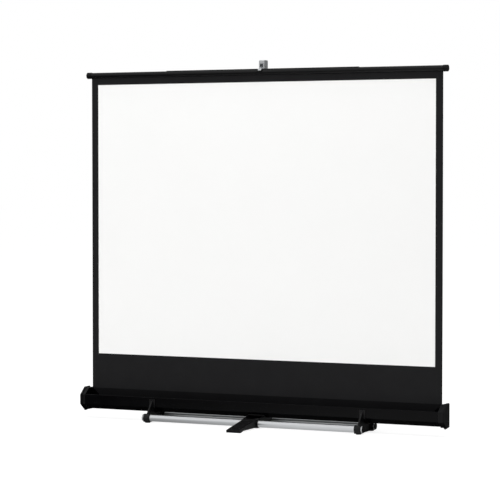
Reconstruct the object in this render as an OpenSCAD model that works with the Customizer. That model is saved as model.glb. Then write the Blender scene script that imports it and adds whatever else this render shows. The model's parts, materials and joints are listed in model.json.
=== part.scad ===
// Pull-up projection screen on a two-tube floor base.
// Millimetres. +Z is up, -Y faces the audience, X runs along the case.
// Places are written from the floor, from the cloth's plane (Y = 0) and from the middle (X = 0).

/* [Screen] */
// Width of the white viewing surface
view_w = 2032; // [1400:1:2400]
// Height of the white viewing surface
view_h = 1524; // [1200:1:1800]
// Height of the viewing surface's lower edge above the floor
view_bottom = 364; // [300:1:500]
// Width of the black masking at each side
side_mask_w = 41; // [20:1:60]
// Thickness of the cloth
cloth_t = 0.6; // [0.4:0.1:1]

/* [Slat] */
// Diameter of the slat tube that carries the cloth
slat_d = 32; // [26:1:38]
// Wall of the slat tube
slat_wall = 1.5; // [1:0.1:3]
// Height of the slat's axis above the viewing surface
slat_rise = 54; // [40:1:80]
// Length of slat beyond the cloth at each end
slat_overhang = 1; // [0.5:0.5:5]
// Diameter of the slat's end caps
slat_cap_d = 36; // [34:1:42]
// Length of a slat end cap
slat_cap_len = 27; // [15:1:40]
// Length of the stiffening strip on the slat, end to end
strip_len = 1156; // [600:1:1400]
// Width of the stiffening strip
strip_w = 12; // [6:1:16]
// Height of the stiffening strip above the slat
strip_rise = 2.5; // [1:0.1:4]
// Gap in the strip's middle for the pole's hook
strip_gap = 44; // [40:1:80]
// Width of the catch plate on the slat
catch_w = 30; // [24:1:40]
// Thickness of the catch plate
catch_t = 2; // [1.5:0.1:3]
// Height of the catch plate's lip above the plate
catch_lip = 3.5; // [2:0.1:5]
// Diameter of the rod in the cloth's top hem
hem_rod_d = 4; // [3:0.5:5]

/* [Case] */
// Twice the distance from the cloth's plane to the case's front wall
case_depth = 154; // [150:1:180]
// Height of the case's underside above the floor
case_bottom = 51; // [50:1:56]
// Height of the case's axis above the floor
case_axis = 106; // [103:1:110]
// Height of the case's upright front wall
case_flat = 53; // [40:1:60]
// Twice the distance from the cloth's plane to the front edge of the case's flat floor
case_floor = 68; // [60:1:80]
// Distance from the cloth's plane back to the case's rear wall
case_back = 11; // [10:0.5:12]
// Height of the rear wall's top above the case's axis
case_rear_rise = 59; // [50:1:59]
// Sheet thickness of the case
case_wall = 2; // [1.5:0.1:3]
// Diameter of the rolled hem along the case's rims
case_hem_d = 5; // [4.2:0.1:7]

/* [End caps] */
// Distance from the cloth's edge to the inner face of an end cap
cap_gap = 5; // [4:1:15]
// Length of the collar round the case's end
collar_len = 20; // [15:1:40]
// Thickness of the end plate
plate_t = 12; // [6:1:14]
// Bevel round the end plate
plate_bevel = 4; // [1:0.1:5]
// How far the end plate stands out in front of the case
plate_margin_y = 8; // [6:1:14]
// How far the end plate stands out behind the case
plate_margin_back = 5; // [4:1:10]
// Rise of the end plate's lower edge towards its back
plate_rise = 6; // [0:1:10]
// How far the end plate stands out from the case, top and bottom
plate_margin_z = 12; // [8:1:16]
// Wall of the collar
collar_wall = 3; // [2:0.1:4]

/* [Roller] */
// Diameter of the roller tube
roller_d = 50; // [46:1:52]
// Wall of the roller tube
roller_wall = 1.5; // [1:0.1:2]
// Height of the roller's axis above the floor
roller_z = 93; // [91:1:96]
// Thickness of the cloth that stays wound when the screen is up
wrap_t = 2.4; // [1:0.1:4]
// Diameter of the roller's arbor and idle pin
arbor_d = 9; // [8:1:12]
// Wire diameter of the counterbalance spring
spring_wire_d = 3; // [2:0.1:4]
// Mean diameter of the counterbalance spring
spring_mean_d = 28; // [22:1:34]
// Pitch of the counterbalance spring's turns
spring_pitch = 8; // [5:0.5:12]
// Turns in the counterbalance spring
spring_turns = 24; // [6:1:24]

/* [Pole] */
// Distance from the cloth's plane back to the pole's axis
pole_y = 33; // [31:1:36]
// Outside width of the lowest pole section
pole_w = 40; // [38:1:42]
// How much narrower each following section is
pole_step = 8; // [7:1:8]
// Wall of each pole section
pole_wall = 2; // [1.5:0.1:2.5]
// Cut corner of each pole section
pole_corner = 3; // [1:0.5:4]
// Overlap of two sections when the screen is up
pole_overlap = 90; // [70:1:140]
// Width of the lock collars
collar_w = 48; // [47:1:54]
// Height of a collar below the top of its tube
collar_skirt = 30; // [20:1:40]
// Height of a collar above the top of its tube
collar_top = 10; // [6:1:16]
// Length of the guide shoe on a section's lower end
shoe_len = 28; // [20:1:40]
// Length of a lock lever from its pin to its tip
lever_len = 60; // [40:1:70]
// Width of a lock lever
lever_w = 16; // [12:1:20]

/* [Pole head] */
// Width of the head
head_w = 32; // [30:1:40]
// Front-to-back depth of the head
head_depth = 48; // [44:1:54]
// Height of the head above its shoulder
head_rise = 46.5; // [44:0.5:60]
// Width of the hook
hook_w = 18; // [14:1:18]
// Thickness of the hook where it holds the slat
hook_t = 4; // [3:0.1:5]

/* [Floor base] */
// Diameter of the two base tubes
base_d = 38; // [34:1:40]
// Wall of the base tubes
base_wall = 2; // [1.5:0.1:3]
// Length of the base tubes
base_len = 1316; // [1300:1:1600]
// Distance from the cloth's plane forward to the front base tube
base_front = 132; // [125:1:160]
// Distance from the cloth's plane back to the rear base tube
base_rear = 48; // [42:1:80]
// Height of the base tubes' axes above the floor
base_z = 27; // [26:1:28]
// Distance of the side cradles in from the ends of the base tubes
cradle_inset = 25; // [22:1:120]
// Width of a cradle's strap
strap_width = 36; // [30:1:50]
// Thickness of the cradles' straps
strap_t = 4; // [3:0.1:6]
// Thickness of the cradles' webs
web_t = 8; // [5:0.5:12]
// Height of the top of a cradle's tab above the floor
tab_top = 125; // [119:1:129]
// Height of the top of a cradle's web above the floor
web_top = 113; // [95:1:114]
// Wall of the cradles' sleeves round the tubes
sleeve_wall = 3; // [2:0.1:5]
// Length of the side cradles' sleeves
sleeve_len = 38; // [32:1:44]
// Thickness of the rubber feet
foot_t = 5; // [4:1:6]
// Diameter of the rubber feet
foot_d = 32; // [24:1:33]
// Width of the centre cradle, which holds the pedal between its cheeks
centre_w = 100; // [90:1:110]

/* [Foot pedal] */
// Distance from the front tube's axis to the pedal's tip
pedal_reach = 223; // [160:1:260]
// Height of the pedal's tip
pedal_tip_h = 14; // [10:1:18]
// Sheet thickness of the pedal
pedal_t = 3; // [2:0.1:4]
// Wall of the pedal's barrel round the front tube
barrel_wall = 5; // [4:0.5:6]

/* [Clearances] */
// Gap between pieces that slide or turn past each other
run_gap = 0.3; // [0.2:0.05:0.4]
// Radial gap between a pin and its bore
pin_gap = 0.05; // [0.02:0.01:0.1]
// Radial gap between the base tubes and their sleeves
sleeve_gap = 0.2; // [0.1:0.05:0.3]

/* [Hidden] */
$fn = 64;
black_paint = "#1b1c1e";
dark_plastic = "#26272a";
black_cloth = "#1f1f21";
chrome = "#d8dadd";
steel = "#9a9da1";
rubber = "#141415";
white_cloth = "#f8f8f8";

// Cloth and slat
cloth_half = view_w / 2 + side_mask_w;
view_top = view_bottom + view_h;
slat_z = view_top + slat_rise;
slat_r = slat_d / 2;
slat_half = cloth_half + slat_overhang;
cloth_top = slat_z - slat_r + 9;
leader_half = view_w / 2;
leader_top = view_bottom - 197;
leader_foot = leader_top - 35;
hem_z = cloth_top + hem_rod_d / 2;
catch_r = slat_r + catch_t;

// Case front outline: depth, half height, half of the upright flat, depth of the level flat
case_o = [case_depth / 2, case_axis - case_bottom, case_flat / 2, case_floor / 2];
case_rim = case_axis + case_flat / 2;
case_top_rise = case_rear_rise + 1;
case_floor_top = case_bottom + case_wall;
cap_inner_x = cloth_half + cap_gap;
plate_x = cap_inner_x + collar_len;
end_x = plate_x + plate_t;
collar_o = [case_o[0] + collar_wall, case_o[1] + collar_wall + 2, case_o[2] + 1, case_o[3] + 0.5];
plate_o = [case_o[0] + plate_margin_y, case_o[1] + plate_margin_z, case_o[2] + 1.5, case_o[3] + 2];
plate_back = case_back + plate_margin_back;
plate_top = case_top_rise + plate_margin_z - 4;

// Roller
wrap_r = roller_d / 2 + wrap_t;
roller_y = -(wrap_r + run_gap + cloth_t / 2);
roller_half = cloth_half + 3;
arbor_r = arbor_d / 2;
roller_bore_r = roller_d / 2 - roller_wall;
plug_len = 20;
bracket_t = 3;
boss_r = 11;
boss_len = 9;
bracket_face_x = plate_x - bracket_t;
bracket_half = [19, 25];
bracket_screw_dz = 18;
spring_start = -roller_half + plug_len + 1;
spring_len = spring_pitch * spring_turns;
anchor_len = 20;

// Pole
foot_z = [case_bottom + 10, case_bottom + 56];
foot_floor = foot_z[0] + 12;
middle_w = pole_w - pole_step;
inner_w = middle_w - pole_step;
shoulder_z = slat_z + slat_r + strip_rise + 1;
inner_top = shoulder_z - 0.5;
section_len = (inner_top - foot_floor + 2 * pole_overlap) / 3;
outer_top = foot_floor + section_len;
middle_bottom = outer_top - pole_overlap;
middle_top = middle_bottom + section_len;
inner_bottom = middle_top - pole_overlap;
pole_back = pole_y + collar_w / 2;
lever_pin_r = 3;
lever_hub_r = 6.7;
lever_y = pole_back + lever_hub_r + run_gap;
ear_t = 4;
lever_flare = 8;
lower_lever_z = outer_top + (collar_top - collar_skirt) / 2;
upper_lever_z = middle_top + (collar_top - collar_skirt) / 2;

// Head and hook
head_top = shoulder_z + head_rise;
head_front = pole_y - head_depth / 2;
head_back = pole_y + head_depth / 2;
skirt_wall = 3;
skirt_len = 36.5;
hook_pin_r = 3;
hook_hub_r = 8;
hook_pin_y = head_front + 21;
hook_pin_z = shoulder_z + 10.5;
slot_top = shoulder_z + 27.5;
hook_in_r = catch_r + run_gap;
hook_out_r = hook_in_r + hook_t;
hook_end_angle = 158;
lip_start_angle = 163;
lip_end_angle = 168;
catch_start_angle = 60;
rivet_x = hook_w / 2 + 3;
rivet_angle = 110;
rivet_r = 1.25;

// Floor base
base_r = base_d / 2;
base_half = base_len / 2;
cradle_x = base_half - cradle_inset;
sleeve_bore = base_r + sleeve_gap;
sleeve_r = sleeve_bore + sleeve_wall;
flange_z = foot_t + 2;
tab_screw_z = (tab_top + web_top) / 2;
tab_screw_r = 2;
saddle_front = 60;
centre_plate = [base_z - 3, base_z + 9];

// Foot pedal
pedal_w = centre_w - 2 * web_t - 2;
barrel_r = base_r + run_gap + barrel_wall;
tip_y = -base_front - pedal_reach;
pan_back_y = -base_front - 6;
pan_back_z = base_z + barrel_r - 1;
pedal_under_z = 8;

// The object's box, and the shift that puts its middle at Y = 0
box_front = tip_y;
box_back = max(base_rear + sleeve_r, lever_y + lever_flare);
frame_y = -(box_front + box_back) / 2;

// Case outline with its front half given as [depth, half height, half upright flat, depth of the
// level flat] and a flat back: closed by a level top, its lower back corner raised by rise
function outline(o, back, top, rise = 0) = [[-o[0], o[2]], [-o[0], -o[2]], [-o[3], -o[1]],
    [back, rise - o[1]], [back, top], [-o[3], top]];
// The same outline open at the top, up to one height in front and another behind
function trough(o, back, top, back_top) = [[-o[0], top], [-o[0], -o[2]], [-o[3], -o[1]],
    [back, -o[1]], [back, back_top]];
// The front half with every side moved out by t
function grown(o, t) = let (c = [o[1] - o[2], o[0] - o[3]], n = c / norm(c))
    [o[0] + t, o[1] + t, o[2] + t * (1 - n[0]) / n[1], o[3] + t * (1 - n[1]) / n[0]];
function reversed(list) = [for (i = [len(list) - 1 : -1 : 0]) list[i]];

module part_frame() {
    translate([0, frame_y, 0]) children();
}

// Extrudes a (Y, Z) outline along X
module along_x(x0, x1) {
    translate([x0, 0, 0]) rotate([90, 0, 90]) linear_extrude(x1 - x0) children();
}

// Round bar along X
module bar_x(r, x0, x1, y, z) {
    translate([x0, y, z]) rotate([0, 90, 0]) cylinder(r = r, h = x1 - x0);
}

module block(x0, x1, y0, y1, z0, z1) {
    translate([x0, y0, z0]) cube([x1 - x0, y1 - y0, z1 - z0]);
}

// Mirrors its children to the left side when side is -1
module on_side(side) {
    mirror([side < 0 ? 1 : 0, 0, 0]) children();
}

// Square bar with cut corners, standing on z0
module square_bar(w, corner, z0, z1) {
    h = w / 2;
    k = h - corner;
    translate([0, pole_y, z0]) linear_extrude(z1 - z0)
        polygon([[-h, -k], [-k, -h], [k, -h], [h, -k], [h, k], [k, h], [-k, h], [-h, k]]);
}

// Corner cut of a square outline whose sides moved out by t
function corner_of(t) = max(pole_corner + t * (2 - sqrt(2)), 0.4);

module pole_tube(w, z0, z1) {
    difference() {
        square_bar(w, pole_corner, z0, z1);
        square_bar(w - 2 * pole_wall, corner_of(-pole_wall), z0 - 1, z1 + 1);
    }
}

// Case

module case_shell() {
    color(black_paint) part_frame() difference() {
        union() {
            translate([0, 0, case_axis]) along_x(-plate_x, plate_x)
                polygon(concat(trough(case_o, case_back, case_flat / 2, case_rear_rise),
                    reversed(trough(grown(case_o, -case_wall), case_back - case_wall,
                        case_flat / 2, case_rear_rise))));
            for (edge = [[case_hem_d / 2 - case_depth / 2, case_rim],
                    [case_back - case_hem_d / 2, case_axis + case_rear_rise]])
                bar_x(case_hem_d / 2, -cap_inner_x + run_gap, cap_inner_x - run_gap,
                    edge[0], edge[1]);
        }
        tab_screw_axes(-case_wall - 2, 1, tab_screw_r);
        foot_bolt_axes(case_back - case_wall - 1, case_back + 1, foot_bolt_r);
    }
}

module end_cap(side) {
    color(dark_plastic) part_frame() on_side(side) difference() {
        translate([0, 0, case_axis]) {
            along_x(cap_inner_x, plate_x) polygon(outline(collar_o, case_back + collar_wall,
                case_top_rise + collar_wall));
            hull() {
                along_x(plate_x, end_x - plate_bevel)
                    polygon(outline(plate_o, plate_back, plate_top, plate_rise));
                along_x(end_x - 1, end_x) polygon(outline(grown(plate_o, -plate_bevel),
                    plate_back - plate_bevel, plate_top - plate_bevel, plate_rise));
            }
        }
        translate([0, 0, case_axis]) along_x(cap_inner_x - 1, plate_x)
            polygon(outline(grown(case_o, run_gap), case_back + run_gap,
                case_top_rise + run_gap));
        bracket_screw_axes(plate_x - 1, end_x + 1, bracket_screw_r);
        bracket_screw_axes(end_x - screw_head_h - 0.5, end_x + 1, screw_head_r + 0.3);
    }
}

module left_end_cap() end_cap(-1);
module right_end_cap() end_cap(1);

bracket_screw_r = 2.5;
screw_head_r = 5;
screw_head_h = 3.5;

module bracket_screw_axes(x0, x1, r) {
    for (dz = [-bracket_screw_dz, bracket_screw_dz])
        bar_x(r, x0, x1, roller_y, roller_z + dz);
}

module end_cap_screws() {
    color(steel) part_frame() for (side = [-1, 1]) on_side(side) {
        bracket_screw_axes(bracket_face_x, end_x - screw_head_h - 0.5, bracket_screw_r);
        difference() {
            bracket_screw_axes(end_x - screw_head_h - 0.5, end_x - 0.5, screw_head_r);
            bracket_screw_axes(end_x - 2.5, end_x, 2);
        }
    }
}

// Bracket plate with a boss round the roller's axis, on the right side
module bracket_plate() {
    difference() {
        union() {
            block(bracket_face_x, plate_x, roller_y - bracket_half[0], roller_y + bracket_half[0],
                roller_z - bracket_half[1], roller_z + bracket_half[1]);
            bar_x(boss_r, bracket_face_x - boss_len, bracket_face_x, roller_y, roller_z);
        }
        bracket_screw_axes(bracket_face_x - 1, plate_x + 1, bracket_screw_r);
    }
}

module idle_end_bracket() {
    color(steel) part_frame() difference() {
        bracket_plate();
        bar_x(arbor_r + pin_gap, bracket_face_x - boss_len - 1, plate_x + 1, roller_y, roller_z);
    }
}

// The spring end holds the arbor's flats in an open-topped slot, so it can't turn
module spring_end_bracket() {
    slot_half = arbor_flat / 2 + pin_gap;
    color(steel) part_frame() on_side(-1) difference() {
        bracket_plate();
        bar_x(arbor_r + pin_gap, bracket_face_x - boss_len - 1, bracket_face_x, roller_y, roller_z);
        block(bracket_face_x - 1, plate_x + 1, roller_y - slot_half, roller_y + slot_half,
            roller_z - arbor_r - pin_gap, roller_z + arbor_r + pin_gap);
    }
}

arbor_flat = 6;

// Fixed arbor: flats in the bracket, a round journal in the plug, an anchor hub for the spring
module spring_arbor() {
    anchor_x = spring_start + spring_len + spring_wire_d + run_gap;
    color(steel) part_frame() {
        intersection() {
            bar_x(arbor_r, -plate_x + 0.5, -bracket_face_x, roller_y, roller_z);
            block(-plate_x, -bracket_face_x, roller_y - arbor_flat / 2, roller_y + arbor_flat / 2,
                roller_z - arbor_r, roller_z + arbor_r);
        }
        bar_x(arbor_r, -bracket_face_x, anchor_x + anchor_len, roller_y, roller_z);
        bar_x(spring_mean_d / 2 + spring_wire_d / 2, anchor_x, anchor_x + anchor_len,
            roller_y, roller_z);
    }
}

// One unbroken wire, swept round the arbor with its ends closed
module roller_spring() {
    ring_sides = 6;
    rings_per_turn = 8;
    rings = spring_turns * rings_per_turn;
    wire_r = spring_wire_d / 2;
    mean_r = spring_mean_d / 2;
    rise = atan2(spring_pitch, 360 * mean_r * PI / 180);
    points = [for (i = [0 : rings]) let (turn = 360 * i / rings_per_turn)
        for (j = [0 : ring_sides - 1]) let (a = 360 * j / ring_sides,
            out = mean_r + wire_r * cos(a), ahead = wire_r * sin(a))
        [spring_start + wire_r + spring_pitch * i / rings_per_turn + ahead * cos(rise),
            roller_y + out * cos(turn) + ahead * sin(rise) * sin(turn),
            roller_z + out * sin(turn) - ahead * sin(rise) * cos(turn)]];
    sides = [for (i = [0 : rings - 1]) for (j = [0 : ring_sides - 1])
        let (a = i * ring_sides + j, b = i * ring_sides + (j + 1) % ring_sides)
        each [[a, b, a + ring_sides], [b, b + ring_sides, a + ring_sides]]];
    last = rings * ring_sides;
    first_end = [for (j = [1 : ring_sides - 2]) [0, j + 1, j]];
    last_end = [for (j = [1 : ring_sides - 2]) [last, last + j, last + j + 1]];
    echo(spring_gap = spring_pitch * cos(rise) - spring_wire_d);
    color(steel) part_frame() polyhedron(points, concat(sides, first_end, last_end));
}

// Roller

module roller_tube() {
    color(steel) part_frame() difference() {
        bar_x(roller_d / 2, -roller_half, roller_half, roller_y, roller_z);
        bar_x(roller_bore_r, -roller_half - 1, roller_half + 1, roller_y, roller_z);
    }
}

module roller_plug() {
    bar_x(roller_bore_r, roller_half - plug_len, roller_half, roller_y, roller_z);
    bar_x(roller_d / 2, roller_half, roller_half + 3, roller_y, roller_z);
}

module spring_end_plug() {
    color(dark_plastic) part_frame() on_side(-1) difference() {
        roller_plug();
        bar_x(arbor_r + pin_gap, roller_half - plug_len - 1, roller_half + 4, roller_y, roller_z);
    }
}

module idle_end_plug() {
    color(dark_plastic) part_frame() {
        roller_plug();
        bar_x(arbor_r, roller_half + 3, plate_x - 1, roller_y, roller_z);
    }
}

module wound_cloth() {
    color(black_cloth) part_frame() difference() {
        bar_x(wrap_r, -leader_half, leader_half, roller_y, roller_z);
        bar_x(roller_d / 2, -leader_half - 1, leader_half + 1, roller_y, roller_z);
    }
}

// Pole

foot_bolt_r = 3;
foot_bolt_x = 52;
foot_bolt_z = [foot_z[0] + 8, foot_z[1] - 8];
foot_flange_t = 6;
foot_half = 62;
foot_socket_half = pole_w / 2 + 10;

// Round or six-sided bolts along Y through the case's rear wall
module foot_bolt_axes(y0, y1, r, fn = 64) {
    for (x = [-foot_bolt_x, foot_bolt_x], z = foot_bolt_z)
        translate([x, y0, z]) rotate([-90, 0, 0]) cylinder(r = r, h = y1 - y0, $fn = fn);
}

// Cast socket for the pole, with a flange that is bolted to the case's rear wall
module pole_foot() {
    flange_y = case_back + foot_flange_t;
    socket_back = pole_y + pole_w / 2 + 7;
    right = [[foot_half, case_back], [foot_half, flange_y], [foot_socket_half + 7, flange_y],
        [foot_socket_half, flange_y + 10], [foot_socket_half, socket_back - 6],
        [foot_socket_half - 6, socket_back]];
    color(black_paint) part_frame() difference() {
        translate([0, 0, foot_z[0]]) linear_extrude(foot_z[1] - foot_z[0])
            polygon(concat(right, reversed([for (p = right) [-p[0], p[1]]])));
        square_bar(pole_w, pole_corner, foot_floor, foot_z[1] + 1);
        foot_bolt_axes(case_back - 1, flange_y + 1, foot_bolt_r);
    }
}

module pole_foot_bolts() {
    flange_y = case_back + foot_flange_t;
    wall_y = case_back - case_wall;
    color(steel) part_frame() {
        foot_bolt_axes(wall_y, flange_y, foot_bolt_r);
        foot_bolt_axes(wall_y - 4, wall_y, 5.5, 6);
        foot_bolt_axes(flange_y, flange_y + 4, 5.5, 6);
    }
}

module pole_outer_tube() {
    color(chrome) part_frame() pole_tube(pole_w, foot_floor, outer_top);
}

module pole_middle_tube() {
    color(chrome) part_frame() pole_tube(middle_w, middle_bottom, middle_top);
}

module pole_inner_tube() {
    color(chrome) part_frame() pole_tube(inner_w, inner_bottom, inner_top);
}

// Guide shoe on the lower end of a section, sliding inside the section below it
module guide_shoe(w, z) {
    shoe_w = w + pole_step - 2 * pole_wall - 2 * run_gap;
    difference() {
        square_bar(shoe_w, corner_of(pole_step / 2 - pole_wall - run_gap), z - 8,
            z - 8 + shoe_len);
        square_bar(w, pole_corner, z, z + shoe_len);
        translate([0, pole_y, z - 9]) cylinder(r = w / 4, h = 10);
    }
}

module middle_shoe() {
    color(dark_plastic) part_frame() guide_shoe(middle_w, middle_bottom);
}

module inner_shoe() {
    color(dark_plastic) part_frame() guide_shoe(inner_w, inner_bottom);
}

// Lock collar on top of a tube of width w, with ears at the back for the cam lever
module lock_collar(w, top, lever_z) {
    next_w = w - pole_step;
    ear_x0 = lever_w / 2 + run_gap;
    difference() {
        union() {
            square_bar(collar_w, 5, top - collar_skirt, top + collar_top);
            for (side = [-1, 1]) on_side(side) {
                bar_x(lever_hub_r, ear_x0, ear_x0 + ear_t, lever_y, lever_z);
                block(ear_x0, ear_x0 + ear_t, pole_back - 2, lever_y,
                    lever_z - lever_hub_r, lever_z + lever_hub_r);
            }
        }
        square_bar(w, pole_corner, top - collar_skirt - 1, top);
        square_bar(next_w + 2 * run_gap, corner_of(run_gap), top - 1, top + collar_top + 1);
        bar_x(lever_pin_r, -collar_w, collar_w, lever_y, lever_z);
    }
}

module lower_collar() {
    color(dark_plastic) part_frame() lock_collar(pole_w, outer_top, lower_lever_z);
}

module upper_collar() {
    color(dark_plastic) part_frame() lock_collar(middle_w, middle_top, upper_lever_z);
}

module lever_pin(z) {
    half = lever_w / 2 + run_gap + ear_t;
    bar_x(lever_pin_r, -half, half, lever_y, z);
    for (side = [-1, 1]) on_side(side) bar_x(lever_pin_r + 1.5, half, half + 1.5, lever_y, z);
}

module lower_lever_pin() {
    color(steel) part_frame() lever_pin(lower_lever_z);
}

module upper_lever_pin() {
    color(steel) part_frame() lever_pin(upper_lever_z);
}

// Cam lever: hub on the pin and an arm that lies along the pole, flared out at its tip.
// up is 1 for a lever that points up, -1 for one that points down.
module lock_lever(z, up) {
    color(dark_plastic) part_frame() translate([0, lever_y, z]) mirror([0, 0, up > 0 ? 0 : 1])
        difference() {
            union() {
                bar_x(lever_hub_r, -lever_w / 2, lever_w / 2, 0, 0);
                along_x(-lever_w / 2, lever_w / 2) polygon([[-3.5, 0], [3.5, 0],
                    [2.5, lever_len * 0.6], [lever_flare, lever_len], [4, lever_len + 1],
                    [-2.5, lever_len * 0.65]]);
            }
            bar_x(lever_pin_r + pin_gap, -lever_w, lever_w, 0, 0);
        }
}

module lower_lock_lever() lock_lever(lower_lever_z, -1);
module upper_lock_lever() lock_lever(upper_lever_z, 1);

// Pole head, hook and slat

module pole_head() {
    skirt_front = pole_y - inner_w / 2 - skirt_wall;
    skirt_back = pole_y + inner_w / 2 + skirt_wall;
    slot_half = hook_w / 2 + 0.5;
    color(chrome) part_frame() difference() {
        along_x(-head_w / 2, head_w / 2) polygon([[skirt_front, shoulder_z - skirt_len],
            [skirt_back, shoulder_z - skirt_len], [skirt_back, shoulder_z - 6],
            [head_back, shoulder_z], [head_back, head_top - 5], [head_back - 5, head_top],
            [head_front + 5, head_top], [head_front, head_top - 5], [head_front, shoulder_z],
            [skirt_front, shoulder_z]]);
        square_bar(inner_w, pole_corner, shoulder_z - skirt_len - 1, inner_top);
        block(-slot_half, slot_half, head_front - 1, hook_pin_y + hook_hub_r + 4,
            shoulder_z, slot_top);
        block(-slot_half, slot_half, head_front - 1, skirt_front, shoulder_z - 1, slot_top);
        bar_x(hook_pin_r, -head_w, head_w, hook_pin_y, hook_pin_z);
    }
}

module hook_pin() {
    color(steel) part_frame() bar_x(hook_pin_r, -head_w / 2, head_w / 2, hook_pin_y, hook_pin_z);
}

// Wedge of the plane X = 0 between two angles about the slat's axis, angles from +Y
module slat_wedge(from, to, half, r = 60) {
    along_x(-half, half) polygon(concat([[0, slat_z]],
        [for (i = [0 : 6]) let (a = from + (to - from) * i / 6)
            [r * cos(a), slat_z + r * sin(a)]]));
}

// Band round the slat's axis between two radii and two angles
module slat_band(r0, r1, from, to, half) {
    intersection() {
        difference() {
            bar_x(r1, -half, half, 0, slat_z);
            bar_x(r0, -half - 1, half + 1, 0, slat_z);
        }
        slat_wedge(from, to, half + 1);
    }
}

// Pivoting finger that reaches out of the head and over the slat to the catch plate's lip
module slat_hook() {
    half = hook_w / 2;
    top = slat_z + hook_in_r;
    color(chrome) part_frame() difference() {
        union() {
            slat_band(hook_in_r, hook_out_r, 80, hook_end_angle, half);
            bar_x(hook_hub_r, -half, half, hook_pin_y, hook_pin_z);
            along_x(-half, half) polygon([[0, top], [0, top + hook_t],
                [hook_pin_y - 6, hook_pin_z + 7], [hook_pin_y + 4, hook_pin_z - 6],
                [hook_pin_y, hook_pin_z - hook_hub_r], [14, top + 2], [9, top - 2.1]]);
        }
        bar_x(hook_in_r, -half - 1, half + 1, 0, slat_z);
        bar_x(hook_pin_r + pin_gap, -half - 1, half + 1, hook_pin_y, hook_pin_z);
    }
}

module catch_rivet_axes(r, r0, r1) {
    for (x = [-rivet_x, rivet_x])
        translate([x, 0, slat_z]) rotate([rivet_angle - 90, 0, 0]) translate([0, 0, r0])
            cylinder(r = r, h = r1 - r0);
}

module catch_plate() {
    half = catch_w / 2;
    color(dark_plastic) part_frame() difference() {
        union() {
            slat_band(slat_r, catch_r, catch_start_angle, lip_end_angle, half);
            slat_band(slat_r, catch_r + catch_lip, lip_start_angle, lip_end_angle, half);
        }
        catch_rivet_axes(rivet_r, slat_r - 2, catch_r + 1);
    }
}

module catch_rivets() {
    color(steel) part_frame() {
        catch_rivet_axes(rivet_r, slat_r - slat_wall - 1, catch_r);
        catch_rivet_axes(rivet_r + 1, catch_r, catch_r + 1.2);
    }
}

module slat_tube() {
    color(black_paint) part_frame() difference() {
        bar_x(slat_r, -slat_half, slat_half, 0, slat_z);
        bar_x(slat_r - slat_wall, -slat_half - 1, slat_half + 1, 0, slat_z);
        block(-slat_half - 1, slat_half + 1, -cloth_t / 2 - run_gap, cloth_t / 2 + run_gap,
            slat_z - slat_r - 1, slat_z);
        catch_rivet_axes(rivet_r, slat_r - 3, slat_r + 1);
    }
}

// Cap with a half-round spigot, open below for the cloth
module slat_cap(side) {
    cap_r = slat_cap_d / 2;
    color(dark_plastic) part_frame() on_side(side) {
        bar_x(cap_r, slat_half, slat_half + slat_cap_len - 2, 0, slat_z);
        translate([slat_half + slat_cap_len - 2, 0, slat_z]) rotate([0, 90, 0])
            cylinder(r1 = cap_r, r2 = cap_r - 2, h = 2);
        intersection() {
            bar_x(slat_r - slat_wall, slat_half - 20, slat_half, 0, slat_z);
            block(slat_half - 21, slat_half + 1, -slat_r, slat_r, slat_z, slat_z + slat_r);
        }
    }
}

module slat_left_cap() slat_cap(-1);
module slat_right_cap() slat_cap(1);

module slat_strips() {
    color(dark_plastic) part_frame() for (side = [-1, 1]) on_side(side) difference() {
        block(strip_gap / 2, strip_len / 2, -strip_w / 2, strip_w / 2, slat_z + slat_r / 2,
            slat_z + slat_r + strip_rise);
        bar_x(slat_r, 0, strip_len, 0, slat_z);
    }
}

module hem_rod() {
    color(steel) part_frame()
        bar_x(hem_rod_d / 2, -cloth_half + 25, cloth_half - 25, 0, hem_z + run_gap);
}

// Black cloth round the viewing surface, with the top hem and a long drop that ends in a
// narrower leader on the roller
module screen_masking() {
    hem_r = hem_rod_d / 2 + run_gap;
    right = [[leader_half, roller_z], [leader_half, leader_foot], [cloth_half, leader_top],
        [cloth_half, cloth_top]];
    color(black_cloth) part_frame() difference() {
        union() {
            rotate([90, 0, 0]) linear_extrude(cloth_t, center = true)
                polygon(concat(right, reversed([for (p = right) [-p[0], p[1]]])));
            bar_x(hem_r + cloth_t, -cloth_half + 25, cloth_half - 25, 0, hem_z + run_gap);
        }
        bar_x(hem_r, -cloth_half, cloth_half, 0, hem_z + run_gap);
        block(-view_w / 2, view_w / 2, -cloth_t, cloth_t, view_bottom, view_top);
    }
}

module viewing_surface() {
    color(white_cloth) part_frame()
        block(-view_w / 2, view_w / 2, -cloth_t / 2, cloth_t / 2, view_bottom, view_top);
}

// Floor base

module base_tube(y) {
    color(chrome) part_frame() difference() {
        bar_x(base_r, -base_half, base_half, y, base_z);
        bar_x(base_r - base_wall, -base_half - 1, base_half + 1, y, base_z);
    }
}

module front_base_tube() base_tube(-base_front);
module rear_base_tube() base_tube(base_rear);

module base_tube_plugs() {
    color(dark_plastic) part_frame() for (side = [-1, 1], y = tube_y) on_side(side) {
        bar_x(base_r - base_wall, base_half - 18, base_half, y, base_z);
        bar_x(base_r, base_half, base_half + 3, y, base_z);
    }
}

tube_y = [-base_front, base_rear];

// Screw axes through the cradles' tabs, from one distance outside the case's walls to another
module tab_screw_axes(d0, d1, r) {
    for (x = [-cradle_x, cradle_x]) {
        translate([x, -case_depth / 2 - d0, tab_screw_z]) rotate([90, 0, 0])
            cylinder(r = r, h = d1 - d0);
        translate([x, case_back + d0, tab_screw_z]) rotate([-90, 0, 0])
            cylinder(r = r, h = d1 - d0);
    }
}

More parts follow.
